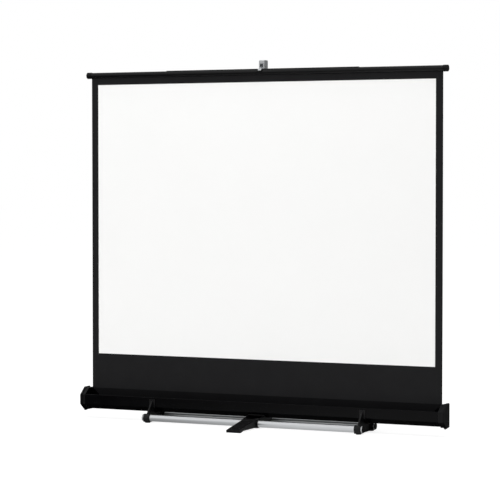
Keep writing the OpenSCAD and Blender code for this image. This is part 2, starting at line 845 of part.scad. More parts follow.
// Cast cradle: a strap round the case's lower half, a web down to the two base tubes,
// a foot flange below and a sleeve round each tube, with a flat lug under it
module side_cradle(side) {
    outer_o = grown(case_o, strap_t);
    outer_back = case_back + strap_t;
    tab = tab_top - case_axis;
    x0 = cradle_x - strap_width / 2;
    x1 = cradle_x + strap_width / 2;
    sleeve_x0 = cradle_x - sleeve_len / 2;
    shoulder = [sleeve_r * 0.35, base_z + sleeve_r * 0.9 - case_axis];
    toe = [sleeve_r * 0.8, flange_z - case_axis];
    web_front = [[-outer_o[0] - 5, web_top - case_axis], [-base_front - shoulder[0], shoulder[1]],
        [-base_front, base_z - case_axis], [-base_front + toe[0], toe[1]]];
    web_back = [[base_rear - toe[0], toe[1]], [base_rear, base_z - case_axis],
        [base_rear + shoulder[0], shoulder[1]], [outer_back + 5, web_top - case_axis]];
    color(dark_plastic) part_frame() on_side(side) difference() {
        union() {
            translate([0, 0, case_axis]) along_x(x0, x1)
                polygon(concat(trough(outer_o, outer_back, tab, tab),
                    reversed(trough(case_o, case_back, tab, tab))));
            translate([0, 0, case_axis]) along_x(cradle_x - web_t / 2, cradle_x + web_t / 2)
                polygon(concat(web_front, web_back, reversed(trough(outer_o, outer_back,
                    web_top - case_axis, web_top - case_axis))));
            block(x0, x1, -base_front + sleeve_r * 0.5, base_rear - sleeve_r * 0.5,
                flange_z, flange_z + strap_t);
            for (y = tube_y) {
                bar_x(sleeve_r, sleeve_x0, sleeve_x0 + sleeve_len, y, base_z);
                block(sleeve_x0, sleeve_x0 + sleeve_len, y - sleeve_r * 0.75,
                    y + sleeve_r * 0.75, foot_t, base_z - sleeve_r * 0.6);
            }
        }
        for (y = tube_y) bar_x(sleeve_bore, x0 - 20, x1 + 20, y, base_z);
        block(x0 - 20, x1 + 20, -base_front - 2 * sleeve_r, base_rear + 2 * sleeve_r, 0, foot_t);
        tab_screw_axes(-1, strap_t + 1, tab_screw_r);
    }
}

module left_cradle() side_cradle(-1);
module right_cradle() side_cradle(1);

// Cast cradle under the case's middle: two cheeks with rings round both tubes, a plate between
// them, and a saddle under the case
module centre_cradle() {
    outer_o = grown(case_o, strap_t);
    slope = (case_o[1] - case_o[2]) / (case_o[0] - case_o[3]);
    seat_z = (saddle_front - case_o[3]) * slope - case_o[1];
    saddle_z = (saddle_front - outer_o[3]) * slope - outer_o[1];
    ring_top = base_z + sleeve_r * 0.9 - case_axis;
    half = centre_w / 2;
    saddle = [[-saddle_front, saddle_z], [-outer_o[3], -outer_o[1]], [case_back, -outer_o[1]]];
    seat = [[-saddle_front, seat_z], [-case_o[3], -case_o[1]], [case_back, -case_o[1]]];
    cheek = [[-saddle_front, seat_z - strap_t * 0.7], [-base_front - 4, ring_top],
        [-base_front, base_z - case_axis], [base_rear, base_z - case_axis],
        [base_rear + 4, ring_top], [case_back, -case_o[1] - strap_t * 0.3]];
    color(dark_plastic) part_frame() difference() {
        union() {
            translate([0, 0, case_axis]) along_x(-half, half)
                polygon(concat(saddle, reversed(seat)));
            for (side = [-1, 1]) on_side(side) {
                translate([0, 0, case_axis]) along_x(half - web_t, half)
                    polygon(concat(cheek, reversed(saddle)));
                bar_x(sleeve_r, half - web_t, half, -base_front, base_z);
            }
            bar_x(sleeve_r, -half, half, base_rear, base_z);
            block(-half, half, -base_front + barrel_r + 4, base_rear,
                centre_plate[0], centre_plate[1]);
        }
        for (y = tube_y) bar_x(sleeve_bore, -half - 1, half + 1, y, base_z);
    }
}

module cradle_screws() {
    color(steel) part_frame() {
        tab_screw_axes(-case_wall, strap_t, tab_screw_r);
        difference() {
            tab_screw_axes(strap_t, strap_t + 2.2, tab_screw_r * 1.9);
            tab_screw_axes(strap_t + 1.2, strap_t + 3, tab_screw_r * 0.8);
        }
    }
}

// Round rubber feet under the side cradles' lugs
module foot_pads() {
    color(rubber) part_frame() for (x = [-cradle_x, cradle_x], y = tube_y)
        translate([x, y, 0]) cylinder(r1 = foot_d / 2 - 1.5, r2 = foot_d / 2, h = foot_t);
}

// Foot pedal

// Pressed pan: a sloping top, a turned-down tip, two side flanges and a barrel round the tube
module foot_pedal() {
    half = pedal_w / 2;
    top = [[tip_y, 0], [tip_y, pedal_tip_h], [pan_back_y, pan_back_z]];
    under = [[pan_back_y, pan_back_z - pedal_t], [tip_y + pedal_t, pedal_tip_h - pedal_t],
        [tip_y + pedal_t, 0]];
    flange = concat(top, [[-base_front, base_z], [-base_front - 6, pedal_under_z],
        [tip_y + 45, pedal_under_z], [tip_y + 10, 0]]);
    color(dark_plastic) part_frame() difference() {
        union() {
            along_x(-half, half) polygon(concat(top, under));
            for (side = [-1, 1]) on_side(side) along_x(half - pedal_t, half) polygon(flange);
            bar_x(barrel_r, -half, half, -base_front, base_z);
        }
        bar_x(base_r + run_gap, -pedal_w, pedal_w, -base_front, base_z);
        pedal_rivet_axes(-10, 1, pedal_rivet_r);
    }
}

pedal_slope = atan2(pan_back_z - pedal_tip_h, pan_back_y - tip_y);
pedal_rivet_r = 2.5;
tread_t = 1.2;

// Places its children on the pedal's sloping top, with X across and Y up the slope from the tip
module on_pedal() {
    translate([0, tip_y, pedal_tip_h]) rotate([pedal_slope, 0, 0]) children();
}

module pedal_rivet_axes(z0, z1, r) {
    for (x = [-pedal_w * 0.3, pedal_w * 0.3], y = [pedal_reach * 0.13, pedal_reach * 0.66])
        on_pedal() translate([x, y, z0]) cylinder(r = r, h = z1 - z0);
}

// Ribbed rubber tread on the sloping top
module pedal_tread() {
    half = pedal_w / 2 - 8;
    length = norm([pan_back_y - tip_y, pan_back_z - pedal_tip_h]) - 40;
    color(rubber) part_frame() difference() {
        on_pedal() union() {
            block(-half, half, 8, 8 + length, 0, tread_t);
            for (y = [16 : 8 : length - 2])
                block(-half + 2, half - 2, y, y + 3, tread_t, tread_t + 0.6);
        }
        pedal_rivet_axes(-1, 3, pedal_rivet_r * 2 + 0.3);
    }
}

module pedal_rivets() {
    color(steel) part_frame() {
        pedal_rivet_axes(-pedal_t, 0, pedal_rivet_r);
        pedal_rivet_axes(0, 1.8, pedal_rivet_r * 2);
    }
}

case_shell();
left_end_cap();
right_end_cap();
end_cap_screws();
spring_end_bracket();
idle_end_bracket();
spring_arbor();
roller_spring();
pole_foot();
pole_foot_bolts();
pole_outer_tube();
lower_collar();
lower_lever_pin();
front_base_tube();
rear_base_tube();
base_tube_plugs();
left_cradle();
right_cradle();
centre_cradle();
cradle_screws();
foot_pads();
foot_pedal();
pedal_tread();
pedal_rivets();
roller_tube();
spring_end_plug();
idle_end_plug();
wound_cloth();
pole_middle_tube();
middle_shoe();
upper_collar();
upper_lever_pin();
pole_inner_tube();
inner_shoe();
pole_head();
hook_pin();
slat_tube();
slat_left_cap();
slat_right_cap();
slat_strips();
catch_plate();
catch_rivets();
hem_rod();
screen_masking();
viewing_surface();
slat_hook();
lower_lock_lever();
upper_lock_lever();
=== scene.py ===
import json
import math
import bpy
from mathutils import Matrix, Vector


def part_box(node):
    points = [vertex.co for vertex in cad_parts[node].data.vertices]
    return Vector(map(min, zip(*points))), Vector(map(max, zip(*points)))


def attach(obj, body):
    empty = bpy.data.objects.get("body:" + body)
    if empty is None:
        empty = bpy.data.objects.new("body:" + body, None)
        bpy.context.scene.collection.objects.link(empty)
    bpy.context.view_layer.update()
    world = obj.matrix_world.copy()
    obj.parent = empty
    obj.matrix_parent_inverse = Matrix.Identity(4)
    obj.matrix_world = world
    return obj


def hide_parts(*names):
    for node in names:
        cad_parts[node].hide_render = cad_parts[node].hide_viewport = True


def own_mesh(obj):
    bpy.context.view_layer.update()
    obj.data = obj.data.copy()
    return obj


bl_info = {
    "name": "Pull-up Projection Screen",
    "version": (1, 0, 0),
    "blender": (4, 5, 0),
    "location": "3D View > Sidebar > Screen",
    "description": "Dresses a pull-up projection screen and sets it in a plain studio",
    "category": "Object",
}

import bmesh
import bpy
from bpy.props import FloatProperty, FloatVectorProperty, IntProperty, PointerProperty
from mathutils import Vector

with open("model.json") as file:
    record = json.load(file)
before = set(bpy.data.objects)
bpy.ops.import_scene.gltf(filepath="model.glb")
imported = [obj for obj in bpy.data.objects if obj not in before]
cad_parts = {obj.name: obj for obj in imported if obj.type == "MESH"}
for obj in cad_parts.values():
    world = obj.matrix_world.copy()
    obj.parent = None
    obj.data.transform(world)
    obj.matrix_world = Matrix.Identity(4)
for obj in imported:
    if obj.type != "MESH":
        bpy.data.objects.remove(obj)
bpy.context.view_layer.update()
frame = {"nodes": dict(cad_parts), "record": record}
CAD = frame["nodes"]
BODY_OF = {name: body for body, names in frame["record"]["behaviour"]["bodies"].items()
           for name in names}
MM = 0.001

# Boxes of the cloth, slat, roller and base tubes in the frame, and what follows from them
SURFACE_LOW, SURFACE_HIGH = (Vector(corner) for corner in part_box("viewing_surface"))
TUBE_LOW, TUBE_HIGH = (Vector(corner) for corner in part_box("roller_tube"))
MASK_HIGH = Vector(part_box("screen_masking")[1])
ROLL_HIGH = Vector(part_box("wound_cloth")[1])
CLOTH_Y = (SURFACE_LOW.y + SURFACE_HIGH.y) / 2
ROLLER_Y = (TUBE_LOW.y + TUBE_HIGH.y) / 2
ROLLER_Z = (TUBE_LOW.z + TUBE_HIGH.z) / 2
ROLLER_R = (TUBE_HIGH.z - TUBE_LOW.z) / 2
BASE_Y = (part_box("front_base_tube")[0][1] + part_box("rear_base_tube")[1][1]) / 2

# Read off the photograph: the black drop below the white surface, and the stretch of the
# leader below the drop that narrows
DROP = 197 * MM
NARROWING = 35 * MM
LEADER_TOP = SURFACE_LOW.z - DROP
LEADER_FOOT = LEADER_TOP - NARROWING

# The cloth's fit: its top edge below the masking's, the white surface in front of the
# masking, and the wound cloth clear of the roller and of the hanging cloth
TOP_TUCK = 6 * MM
SURFACE_PROUD = 0.5 * MM
ROLL_GAP = 0.2 * MM
HANGING_GAP = 0.1 * MM
CLOTH_LOW = ROLLER_Z
CLOTH_HIGH = MASK_HIGH.z - TOP_TUCK
MASK_HALF = MASK_HIGH.x
LEADER_HALF = ROLL_HIGH.x
CURL_BAND = 0.1  # the share of the half width that curls

# Cells of the cloth's sheets
CLOTH_COLUMNS = 80
NARROWING_ROWS = 4
MASKING_ROWS = 56
SURFACE_ROWS = 50
ROLL_COLUMNS = 12
ROWS_A_TURN = 48

# Points closer than WELD are joined, then edges flatter than FLAT_EDGE are dissolved, and
# those that bend more than SHARP_EDGE are rounded
WELD = 0.01 * MM
FLAT_EDGE = math.radians(0.5)
SHARP_EDGE = math.radians(28)

# Studio: the camera's sensor in millimetres, all other places and sizes in metres
SENSOR_WIDTH = 36
CAMERA_REACH = 200
AIM_HEIGHT = 1.0
KEY_PLACE = (-7.0, -16.0, 5.5)
KEY_SIZE = 6.0
TOP_PLACE = (0.5, -0.5, 6.0)
TOP_SIZE = 3.0
TOP_SHARE = 0.15  # of the key light's power
FLOOR_HALF = 60
FLOOR_GLOW = 1.4
GLOW_SHARE = 0.6
BRIGHTEST_WAY = Vector((-0.1, -0.55, 0.83)).normalized()  # overhead in front

# Where the painted shade in the floor's reflection fades: from left to right, towards the back,
# and outwards from the middle between the base tubes
FADE_ACROSS = (-1.5, 0.3)
FADE_BEHIND = (-0.1, 0.2)
FADE_BENEATH = (0.05, 0.08)


def linear(code):
    """Linear RGBA of an sRGB hex colour such as #1B1C1E."""
    channels = [int(code[i : i + 2], 16) / 255 for i in (1, 3, 5)]
    return (*(c / 12.92 if c <= 0.04045 else ((c + 0.055) / 1.055) ** 2.4 for c in channels), 1.0)


class ClothSettings(bpy.types.PropertyGroup):
    """Cloth of the screen."""

    white: FloatVectorProperty(
        name="Viewing surface",
        description="Colour of the matt white coating",
        subtype="COLOR", size=4, min=0, max=1, default=linear("#F6F6F5"),
    )
    black: FloatVectorProperty(
        name="Masking",
        description="Colour of the black masking and drop",
        subtype="COLOR", size=4, min=0, max=1, default=linear("#1F1F20"),
    )
    # Painted shade: the leader is drawn darker than the drop, for the shade low in the case
    leader: FloatVectorProperty(
        name="Leader",
        description="Colour of the black leader between the drop and the roller",
        subtype="COLOR", size=4, min=0, max=1, default=linear("#131314"),
    )
    thread: FloatProperty(
        name="Thread spacing",
        description="Distance between the threads that show through the coating",
        unit="LENGTH", subtype="DISTANCE", min=0.0003, max=0.01, default=2.5 * MM,
    )
    curl: FloatProperty(
        name="Edge curl",
        description="How far the free side edges stand off the flat",
        unit="LENGTH", subtype="DISTANCE", min=0, max=0.01, default=1.2 * MM,
    )
    wraps: IntProperty(
        name="Wraps",
        description="Turns of cloth left on the roller when the screen is up",
        min=1, max=8, default=4,
    )


class PaintSettings(bpy.types.PropertyGroup):
    """Black finishes of the case, castings and mouldings."""

    powder: FloatVectorProperty(
        name="Powder coat",
        description="Colour of the coated sheet steel",
        subtype="COLOR", size=4, min=0, max=1, default=linear("#040405"),
    )
    enamel: FloatVectorProperty(
        name="Enamel",
        description="Colour of the enamelled castings and pedal, and of the anodised slat",
        subtype="COLOR", size=4, min=0, max=1, default=linear("#0C0C0D"),
    )
    nylon: FloatVectorProperty(
        name="Nylon",
        description="Colour of the moulded caps, plugs, collars, levers and strips",
        subtype="COLOR", size=4, min=0, max=1, default=linear("#0B0B0C"),
    )
    rubber: FloatVectorProperty(
        name="Rubber",
        description="Colour of the feet and tread",
        subtype="COLOR", size=4, min=0, max=1, default=linear("#0F0F10"),
    )
    grain: FloatProperty(
        name="Grain",
        description="Size of the powder coat's orange peel",
        unit="LENGTH", subtype="DISTANCE", min=0.0002, max=0.01, default=1.5 * MM,
    )


class MetalSettings(bpy.types.PropertyGroup):
    """Bright metals."""

    chrome: FloatVectorProperty(
        name="Chrome",
        description="Colour of the chromed tubes, pole and hook",
        subtype="COLOR", size=4, min=0, max=1, default=linear("#DADCDE"),
    )
    zinc: FloatVectorProperty(
        name="Zinc",
        description="Colour of the zinc-plated roller, brackets, bolts, pins and rivets",
        subtype="COLOR", size=4, min=0, max=1, default=linear("#A9ACAF"),
    )


class StageSettings(bpy.types.PropertyGroup):
    """Camera and light."""

    camera_x: FloatProperty(
        name="Camera X", description="Camera's distance to the right of the screen's middle",
        unit="LENGTH", subtype="DISTANCE", default=4.874,
    )
    camera_y: FloatProperty(
        name="Camera Y", description="Camera's place before (minus) the cloth's plane",
        unit="LENGTH", subtype="DISTANCE", default=-10.574,
    )
    camera_z: FloatProperty(
        name="Camera height", description="Camera's height above the floor",
        unit="LENGTH", subtype="DISTANCE", default=1.395,
    )
    camera_turn: FloatProperty(
        name="Camera turn", description="How far the view is turned left of square on",
        unit="ROTATION", subtype="ANGLE", default=math.radians(25.04),
    )
    camera_tilt: FloatProperty(
        name="Camera tilt", description="How far the view looks down",
        unit="ROTATION", subtype="ANGLE", default=math.radians(2.10),
    )
    camera_lens: FloatProperty(
        name="Lens", description="Focal length on a 36 mm sensor, in millimetres",
        subtype="DISTANCE_CAMERA", min=20, max=400, default=152.86,
    )
    key_power: FloatProperty(
        name="Key light", description="Power of the large soft light at the front left",
        unit="POWER", min=0, max=20000, default=1170,
    )
    room_light: FloatProperty(
        name="Room light", description="Strength of the even light from all round",
        min=0, max=2, default=0.45,
    )


# Node and material tools


def add_node(tree, kind, links=None, values=None, **settings):
    """Adds a node with its settings, socket values and incoming links."""
    node = tree.nodes.new(kind)
    for key, value in settings.items():
        setattr(node, key, value)
    for socket, value in (values or {}).items():
        node.inputs[socket].default_value = value
    for socket, source in (links or {}).items():
        tree.links.new(source, node.inputs[socket])
    return node


def start_material(name, **shader_values):
    """An empty material with a Principled shader that has the given constant values."""
    material = bpy.data.materials.new(name)
    material.use_nodes = True
    tree = material.node_tree
    tree.nodes.clear()
    shader = add_node(tree, "ShaderNodeBsdfPrincipled", values=shader_values)
    add_node(tree, "ShaderNodeOutputMaterial", links={"Surface": shader.outputs["BSDF"]})
    place = add_node(tree, "ShaderNodeTexCoord").outputs["Object"]
    return material, tree, shader, place


def mottle(tree, shader, place, colour, size, spread):
    """Varies the shader's base colour by the share spread over patches of a size in metres."""
    patches = add_node(tree, "ShaderNodeTexNoise", {"Vector": place},
                       {"Scale": 1 / size, "Detail": 3.0, "Roughness": 0.6})
    dark = tuple(c * (1 - spread) for c in colour[:3]) + (1.0,)
    light = tuple(min(c * (1 + spread), 1.0) for c in colour[:3]) + (1.0,)
    mix = add_node(tree, "ShaderNodeMix", {"Factor": patches.outputs["Fac"]}, data_type="RGBA")
    mix.inputs["A"].default_value = dark
    mix.inputs["B"].default_value = light
    tree.links.new(mix.outputs["Result"], shader.inputs["Base Color"])
    return patches


def vary_roughness(tree, shader, source, low, high):
    """Maps the middle of a texture's range, where most of it lies, onto a span of roughness."""
    span = add_node(tree, "ShaderNodeMapRange", {"Value": source},
                    {"From Min": 0.3, "From Max": 0.7, "To Min": low, "To Max": high})
    tree.links.new(span.outputs["Result"], shader.inputs["Roughness"])


def raise_bump(tree, shader, height, depth, strength=1.0):
    """Gives the shader a bump of a real depth in metres."""
    bump = add_node(tree, "ShaderNodeBump", {"Height": height},
                    {"Strength": strength, "Distance": depth})
    tree.links.new(bump.outputs["Normal"], shader.inputs["Normal"])


def weave(tree, place, spacing):
    """Height of a plain weave in the XZ plane with threads a spacing apart."""
    # At scale 1 the bands of a wave are pi / 10 apart
    scale = math.pi / (10 * spacing)
    along = add_node(tree, "ShaderNodeTexWave", {"Vector": place}, {"Scale": scale},
                     bands_direction="X")
    up = add_node(tree, "ShaderNodeTexWave", {"Vector": place}, {"Scale": scale},
                  bands_direction="Z")
    return add_node(tree, "ShaderNodeMath", {0: along.outputs["Fac"], 1: up.outputs["Fac"]},
                    operation="MULTIPLY").outputs["Value"]


def drawn_lines(tree, place, per_mm):
    """Faint lines along X, so many to the millimetre across, that fade in and out over
    half a metre."""
    stretched = add_node(tree, "ShaderNodeMapping", {"Vector": place},
                         {"Scale": (0.002 / MM, per_mm / MM, per_mm / MM)})
    return add_node(tree, "ShaderNodeTexNoise", {"Vector": stretched.outputs["Vector"]},
                    {"Scale": 1.0, "Detail": 3.0}).outputs["Fac"]


def matt_white_vinyl():
    # PVC-coated glass cloth with a matt white face: it scatters light evenly, with no
    # hot spot, and its threads barely show
    cloth = bpy.context.scene.screen_cloth
    material, tree, shader, place = start_material(
        "matt_white_vinyl", Roughness=0.9, **{"Specular IOR Level": 0.1})
    mottle(tree, shader, place, cloth.white, 250 * MM, 0.008)
    raise_bump(tree, shader, weave(tree, place, cloth.thread), 0.03 * MM, 0.4)
    return material


def black_vinyl():
    # The same cloth coated black for the masking: a dull, very dark grey whose threads give
    # a faint sheen at a low angle. The threads are drawn coarser than real ones, to show
    cloth = bpy.context.scene.screen_cloth
    material, tree, shader, place = start_material(
        "black_vinyl_cloth", Roughness=0.75, **{"Specular IOR Level": 0.05})
    mottle(tree, shader, place, cloth.black, 120 * MM, 0.12)
    raise_bump(tree, shader, weave(tree, place, cloth.thread), 0.12 * MM, 0.6)
    return material


def leader_cloth_painted_shade():
    # Dull black cloth that joins the drop to the roller. Its deeper black is painted shade, for
    # the dimmer cloth low in the case mouth and on the roller
    cloth = bpy.context.scene.screen_cloth
    material, tree, shader, place = start_material(
        "leader_cloth_painted_shade", Roughness=0.95, **{"Specular IOR Level": 0.03})
    mottle(tree, shader, place, cloth.leader, 60 * MM, 0.2)
    raise_bump(tree, shader, weave(tree, place, cloth.thread), 0.2 * MM, 0.7)
    return material


def powder_coat():
    # Sheet steel powder-coated black: a low satin gloss over a fine orange peel
    paint = bpy.context.scene.screen_paint
    material, tree, shader, place = start_material(
        "black_powder_coat_steel", **{"Specular IOR Level": 0.1})
    patches = mottle(tree, shader, place, paint.powder, 80 * MM, 0.2)
    vary_roughness(tree, shader, patches.outputs["Fac"], 0.16, 0.24)
    peel = add_node(tree, "ShaderNodeTexNoise", {"Vector": place},
                    {"Scale": 1 / paint.grain, "Detail": 2.0})
    raise_bump(tree, shader, peel.outputs["Fac"], 0.06 * MM, 0.5)
    return material


def black_anodised():
    # Extruded aluminium anodised black: a close satin sheen along faint die lines, drawn
    # coarser than real ones, to show
    paint = bpy.context.scene.screen_paint
    material, tree, shader, place = start_material(
        "black_anodised_aluminium", **{"Specular IOR Level": 0.22})
    mottle(tree, shader, place, paint.enamel, 100 * MM, 0.1)
    vary_roughness(tree, shader, drawn_lines(tree, place, 0.3), 0.3, 0.4)
    return material


def cast_enamel():
    # Cast aluminium stove-enamelled black: softer edges and a slightly uneven skin that
    # still shows the sand of the mould
    paint = bpy.context.scene.screen_paint
    material, tree, shader, place = start_material(
        "black_enamel_casting", **{"Specular IOR Level": 0.22})
    patches = mottle(tree, shader, place, paint.enamel, 20 * MM, 0.25)
    vary_roughness(tree, shader, patches.outputs["Fac"], 0.3, 0.45)
    sand = add_node(tree, "ShaderNodeTexNoise", {"Vector": place},
                    {"Scale": 1 / (2 * MM), "Detail": 4.0})
    raise_bump(tree, shader, sand.outputs["Fac"], 0.25 * MM, 0.5)
    return material


def moulded_nylon():
    # Injection-moulded black nylon: a fine spark-eroded grain with a dull even sheen
    paint = bpy.context.scene.screen_paint
    material, tree, shader, place = start_material(
        "black_moulded_nylon", **{"Specular IOR Level": 0.15})
    patches = mottle(tree, shader, place, paint.nylon, 50 * MM, 0.15)
    vary_roughness(tree, shader, patches.outputs["Fac"], 0.4, 0.52)
    grain = add_node(tree, "ShaderNodeTexVoronoi", {"Vector": place}, {"Scale": 1 / (1.2 * MM)})
    raise_bump(tree, shader, grain.outputs["Distance"], 0.05 * MM, 0.5)
    return material


def moulded_rubber():
    # Moulded natural rubber: matt, a little dusty in its low spots
    paint = bpy.context.scene.screen_paint
    material, tree, shader, place = start_material(
        "black_moulded_rubber", Roughness=0.85, **{"Specular IOR Level": 0.1})
    mottle(tree, shader, place, paint.rubber, 15 * MM, 0.4)
    pits = add_node(tree, "ShaderNodeTexNoise", {"Vector": place}, {"Scale": 1 / (1.5 * MM)})
    raise_bump(tree, shader, pits.outputs["Fac"], 0.15 * MM, 0.5)
    return material


def scuffed_enamel():
    # Pressed steel enamelled black, scuffed grey where shoes press on it
    paint = bpy.context.scene.screen_paint
    material, tree, shader, place = start_material(
        "scuffed_black_enamel", **{"Specular IOR Level": 0.1})
    scuffs = add_node(tree, "ShaderNodeTexNoise", {"Vector": place},
                      {"Scale": 1 / (9 * MM), "Detail": 6.0, "Distortion": 1.5})
    worn = add_node(tree, "ShaderNodeMapRange", {"Value": scuffs.outputs["Fac"]},
                    {"From Min": 0.5, "From Max": 0.75})
    mix = add_node(tree, "ShaderNodeMix", {"Factor": worn.outputs["Result"]}, data_type="RGBA")
    mix.inputs["A"].default_value = paint.enamel
    mix.inputs["B"].default_value = linear("#2A2A2C")
    tree.links.new(mix.outputs["Result"], shader.inputs["Base Color"])
    vary_roughness(tree, shader, scuffs.outputs["Fac"], 0.35, 0.6)
    raise_bump(tree, shader, scuffs.outputs["Fac"], 0.12 * MM, 0.4)
    return material


def chrome_plate():
    # Drawn steel tube with satin chrome plate: a soft mirror with faint draw lines, coarser
    # than real ones, to show
    metal = bpy.context.scene.screen_metal
    material, tree, shader, place = start_material("chrome_plated_steel", Metallic=1.0)
    mottle(tree, shader, place, metal.chrome, 100 * MM, 0.015)
    vary_roughness(tree, shader, drawn_lines(tree, place, 0.4), 0.28, 0.36)
    return material


def satin_chrome():
    # Die-cast zinc with a satin chrome plate: pale metal whose reflections are soft blurs
    metal = bpy.context.scene.screen_metal
    material, tree, shader, place = start_material("satin_chrome_casting", Metallic=1.0)
    mottle(tree, shader, place, metal.chrome, 20 * MM, 0.03)
    grain = add_node(tree, "ShaderNodeTexNoise", {"Vector": place}, {"Scale": 1 / (1.5 * MM)})
    vary_roughness(tree, shader, grain.outputs["Fac"], 0.4, 0.5)
    return material


def zinc_plate():
    # Zinc-plated steel: a pale grey metal with a soft crystalline mottle
    metal = bpy.context.scene.screen_metal
    material, tree, shader, place = start_material("zinc_plated_steel", Metallic=1.0)
    mottle(tree, shader, place, metal.zinc, 20 * MM, 0.12)
    flakes = add_node(tree, "ShaderNodeTexVoronoi", {"Vector": place}, {"Scale": 1 / (4 * MM)})
    vary_roughness(tree, shader, flakes.outputs["Distance"], 0.28, 0.42)
    return material


def black_oxide():
    # Steel screws and rivets blackened in a hot oxide bath: near black with an oily grey sheen
    material, tree, shader, place = start_material("black_oxide_steel", Metallic=1.0)
    mottle(tree, shader, place, linear("#2C2C2F"), 5 * MM, 0.25)
    marks = add_node(tree, "ShaderNodeTexNoise", {"Vector": place}, {"Scale": 1 / (0.8 * MM)})
    vary_roughness(tree, shader, marks.outputs["Fac"], 0.4, 0.55)
    return material


def finish_material(maker):
    """The material that a maker function gives, made once."""
    key = maker.__name__
    if key not in finish_material.made:
        finish_material.made[key] = maker()
    return finish_material.made[key]


finish_material.made = {}


def coat(maker, *names):
    """Gives CAD nodes a finish."""
    for name in names:
        for slot in CAD[name].material_slots:
            slot.material = finish_material(maker)


# Mesh tools


def new_piece(name, mesh_maker, maker, body):
    """A mesh object built by mesh_maker(bmesh), with its finish and its body."""
    mesh = bpy.data.meshes.new(name)
    bm = bmesh.new()
    mesh_maker(bm)
    bm.normal_update()
    bm.to_mesh(mesh)
    bm.free()
    for face in mesh.polygons:
        face.use_smooth = True
    piece = bpy.data.objects.new(name, mesh)
    bpy.context.scene.collection.objects.link(piece)
    mesh.materials.append(finish_material(maker))
    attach(piece, body)
    return piece


def soften(maker, width, *names, segments=2, smallest_face=0):
    """Stands copies of CAD nodes, with their sharp edges rounded, in for the nodes. Edges of
    faces under smallest_face square metres stay sharp."""
    def rounded(bm, name):
        bm.from_mesh(CAD[name].data)
        bmesh.ops.remove_doubles(bm, verts=bm.verts, dist=WELD)
        bmesh.ops.dissolve_limit(bm, angle_limit=FLAT_EDGE, verts=bm.verts, edges=bm.edges)
        edges = [edge for edge in bm.edges if len(edge.link_faces) == 2
                 and edge.calc_face_angle() > SHARP_EDGE
                 and min(face.calc_area() for face in edge.link_faces) >= smallest_face]
        bmesh.ops.bevel(bm, geom=edges, offset=width, segments=segments, profile=0.5,
                        affect="EDGES", clamp_overlap=True)

    for name in names:
        piece = new_piece(name + "_rounded", lambda bm: rounded(bm, name), maker, BODY_OF[name])
        piece.modifiers.new("even_shading", "WEIGHTED_NORMAL").keep_sharp = True
        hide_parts(name)


def new_sheet(name, columns, rows, place, maker, body):
    """A sheet of columns by rows cells, with place(u, v) giving each corner for u, v in 0..1."""
    def cells(bm):
        corners = [[bm.verts.new(place(i / columns, j / rows)) for i in range(columns + 1)]
                   for j in range(rows + 1)]
        for j in range(rows):
            for i in range(columns):
                bm.faces.new((corners[j][i], corners[j][i + 1], corners[j + 1][i + 1],
                              corners[j + 1][i]))

    return new_piece(name, cells, maker, body)


# Cloth


def stand_off(x, z):
    """How far the free side edges curl back, most of all midway from slat to roller."""
    edge = max(abs(x) / MASK_HALF - (1 - CURL_BAND), 0) / CURL_BAND
    free = math.sin(math.pi * (z - CLOTH_LOW) / (CLOTH_HIGH - CLOTH_LOW))
    return bpy.context.scene.screen_cloth.curl * edge**2 * free


def shorten(piece):
    """Gives the hanging cloth a mesh of its own."""
    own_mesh(piece)


def hang_masking():
    """The black masking and drop, and the leader, which narrows just below the drop and is drawn
    darker as painted shade.
    """
    levels = [CLOTH_LOW]
    levels += [LEADER_FOOT + (LEADER_TOP - LEADER_FOOT) * k / NARROWING_ROWS
               for k in range(NARROWING_ROWS)]
    levels += [LEADER_TOP + (CLOTH_HIGH - LEADER_TOP) * k / MASKING_ROWS
               for k in range(MASKING_ROWS + 1)]
    rows = len(levels) - 1

    def place(u, v):
        z = levels[round(v * rows)]
        slope = min(max((z - LEADER_FOOT) / (LEADER_TOP - LEADER_FOOT), 0), 1)
        x = (2 * u - 1) * (LEADER_HALF + (MASK_HALF - LEADER_HALF) * slope)
        return (x, CLOTH_Y + stand_off(x, z), z)

    piece = new_sheet("masking_cloth", CLOTH_COLUMNS, rows, place, black_vinyl, "pole_top")
    piece.data.materials.append(finish_material(leader_cloth_painted_shade))
    # Faces below the drop take the darker leader cloth: painted shade where the cloth goes down
    # into the case
    for face in piece.data.polygons:
        face.material_index = int(face.center.z < LEADER_TOP)
    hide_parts("screen_masking")
    shorten(piece)


def hang_surface():
    """The white viewing surface, just in front of the masking."""
    width = SURFACE_HIGH.x - SURFACE_LOW.x
    height = SURFACE_HIGH.z - SURFACE_LOW.z

    def place(u, v):
        x = SURFACE_LOW.x + u * width
        z = SURFACE_LOW.z + v * height
        return (x, CLOTH_Y - SURFACE_PROUD + stand_off(x, z), z)

    piece = new_sheet("white_surface", CLOTH_COLUMNS, SURFACE_ROWS, place, matt_white_vinyl,
                      "pole_top")
    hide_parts("viewing_surface")
    shorten(piece)


def wind_roll():
    """The wraps left on the roller: a spiral that ends at the roller's back, where the
    hanging cloth leaves it."""
    turns = bpy.context.scene.screen_cloth.wraps
    start_r = ROLLER_R + ROLL_GAP
    end_r = CLOTH_Y - ROLLER_Y - HANGING_GAP

    def place(u, v):
        turn = 2 * math.pi * turns * (v - 1)
        r = start_r + (end_r - start_r) * v
        return ((2 * u - 1) * LEADER_HALF, ROLLER_Y + r * math.cos(turn),
                ROLLER_Z + r * math.sin(turn))

    piece = new_sheet("wound_cloth_roll", ROLL_COLUMNS, turns * ROWS_A_TURN, place,
                      leader_cloth_painted_shade, "roller")
    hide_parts("wound_cloth")


# Pieces


class SCREEN_OT_cloth(bpy.types.Operator):
    """Hang the masking and the white surface, and wind the rest on the roller"""

    bl_idname = "screen.cloth"
    bl_label = "Cloth"

    def execute(self, context):
        hang_masking()
        hang_surface()
        wind_roll()
        return {"FINISHED"}


